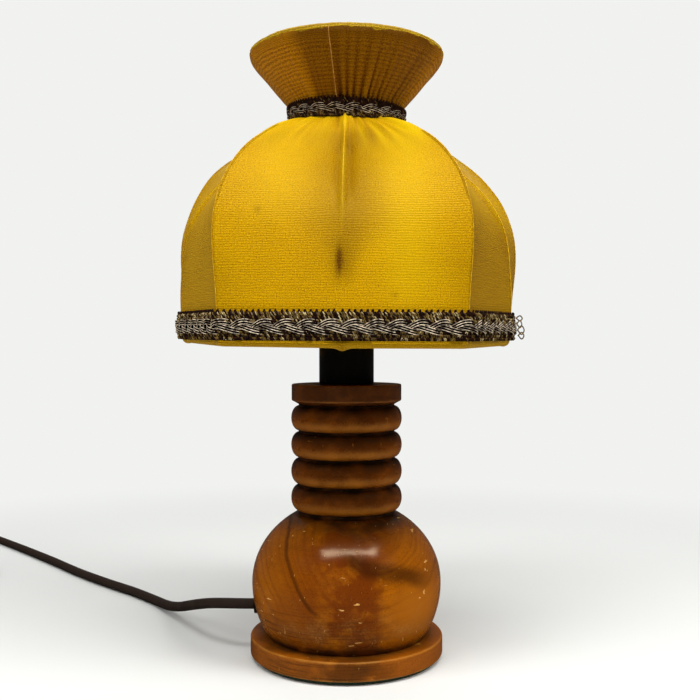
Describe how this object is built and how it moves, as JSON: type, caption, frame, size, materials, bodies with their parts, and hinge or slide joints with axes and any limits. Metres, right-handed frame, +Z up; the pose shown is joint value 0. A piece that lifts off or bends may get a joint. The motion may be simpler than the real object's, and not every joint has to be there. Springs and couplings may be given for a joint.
{
  "type": "night lamp",
  "caption": "Art deco night lamp: turned wooden base with a ball and ribbed column, lamp holder and bulb, wired fabric shade with a waist and flared collar, cord with switch and plug.",
  "frame": {"origin": "on the lamp's turned axis, at the middle of the felt pad's underside", "axes": "+Z up along the column, -Y towards the front of the lamp as pictured, +X to the right there"},
  "size_m": [0.4361, 0.3709, 0.305],
  "materials": {
    "felt": "matte",
    "varnished_wood": "gloss varnish with wear",
    "steel": "satin",
    "bakelite": "worn satin",
    "brass": "satin",
    "copper": "satin",
    "white_ceramic": "gloss",
    "glass": "frosted",
    "shade_wire": "satin",
    "shade_fabric": "satin weave",
    "gimp_braid": "braided",
    "cord_sheath": "matte",
    "switch_plastic": "satin",
    "rocker_plastic": "satin"
  },
  "bodies": {
    "stand": {"felt_pad": "felt", "foot_disc": "varnished_wood", "ball_body": "varnished_wood", "ribbed_column": "varnished_wood", "top_disc": "varnished_wood", "foot_screw_1": "steel", "foot_screw_2": "steel", "foot_screw_3": "steel", "nipple": "steel", "rocker_pin": "steel", "holder_base": "bakelite", "holder_body": "bakelite", "cord_bush": "bakelite", "screw_shell": "brass", "centre_contact": "brass", "terminal_screw_live": "brass", "terminal_screw_neutral": "brass", "switch_screw": "brass", "plug_pin_1": "brass", "plug_pin_2": "brass", "plug_screw": "brass", "conductor_live": "copper", "conductor_neutral": "copper", "terminal_insert": "white_ceramic", "cord_inside": "cord_sheath", "cord_lead": "cord_sheath", "cord_coil": "cord_sheath", "switch_base": "switch_plastic", "switch_cover": "switch_plastic", "plug_body": "switch_plastic"},
    "shade_ring": {"shade_ring": "bakelite"},
    "shade": {"fitter": "shade_wire", "dome_panel_1": "shade_fabric", "dome_panel_2": "shade_fabric", "dome_panel_3": "shade_fabric", "dome_panel_4": "shade_fabric", "dome_panel_5": "shade_fabric", "collar_cover": "shade_fabric", "rim_binding": "shade_fabric", "middle_rib_1": "shade_wire", "corner_rib_1": "shade_wire", "middle_rib_2": "shade_wire", "corner_rib_2": "shade_wire", "middle_rib_3": "shade_wire", "corner_rib_3": "shade_wire", "middle_rib_4": "shade_wire", "corner_rib_4": "shade_wire", "middle_rib_5": "shade_wire", "corner_rib_5": "shade_wire", "top_ring": "shade_wire", "bottom_ring": "shade_wire", "waist_ring": "shade_wire", "lower_gimp": "gimp_braid", "waist_gimp": "gimp_braid"},
    "bulb": {"bulb_glass": "glass", "bulb_cap": "brass", "bulb_contact": "brass", "bulb_filament": "steel"},
    "switch_rocker": {"switch_rocker": "rocker_plastic"}
  },
  "joints": [
    {"name": "shade_ring_turn", "type": "hinge", "parent": "stand", "child": "shade_ring", "pos_m": [0, 0, 0.18], "axis": [0, 0, 1], "range_deg": [-180, 180]},
    {"name": "shade_lift", "type": "slide", "parent": "shade_ring", "child": "shade", "axis": [0, 0, 1], "range_m": [0, 0.12]},
    {"name": "bulb_unscrew", "type": "slide", "parent": "stand", "child": "bulb", "axis": [0, 0, 1], "range_m": [0, 0.028]},
    {"name": "switch_rock", "type": "hinge", "parent": "stand", "child": "switch_rocker", "pos_m": [-0.3258, 0.2107, 0.0143], "axis": [-1, 0, 0], "range_deg": [0, 16]}
  ]
}
